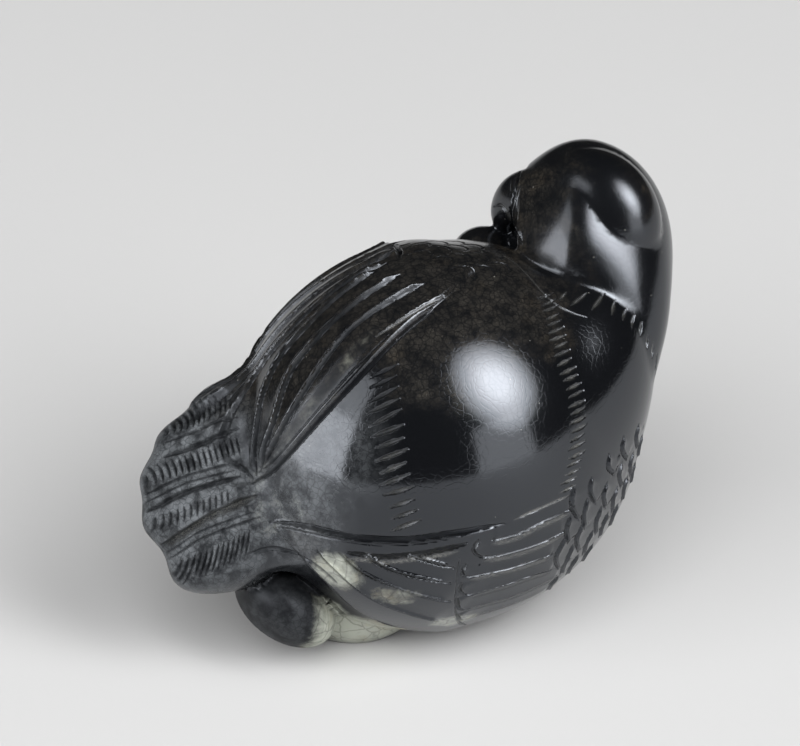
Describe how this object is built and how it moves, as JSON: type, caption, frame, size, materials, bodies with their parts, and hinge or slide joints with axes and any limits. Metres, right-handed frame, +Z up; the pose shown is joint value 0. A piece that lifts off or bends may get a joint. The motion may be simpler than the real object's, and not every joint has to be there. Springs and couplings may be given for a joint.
{
  "type": "jade parrot carving",
  "caption": "Small dark jade carving of a plump parrot lying down, wings folded, tail fanned, head turned back over the shoulder with a fruit at its beak.",
  "frame": {"origin": "centre of the bounding box at the bottom, on the surface that the carving rests on", "axes": "+Z up, +X from the tail tips to the front of the neck, the bird's back leaning towards -Y"},
  "size_m": [0.0652, 0.0432, 0.0535],
  "materials": {
    "dark_jade": "polished"
  },
  "bodies": {
    "root": {"parrot_carving": "dark_jade"}
  },
  "joints": []
}
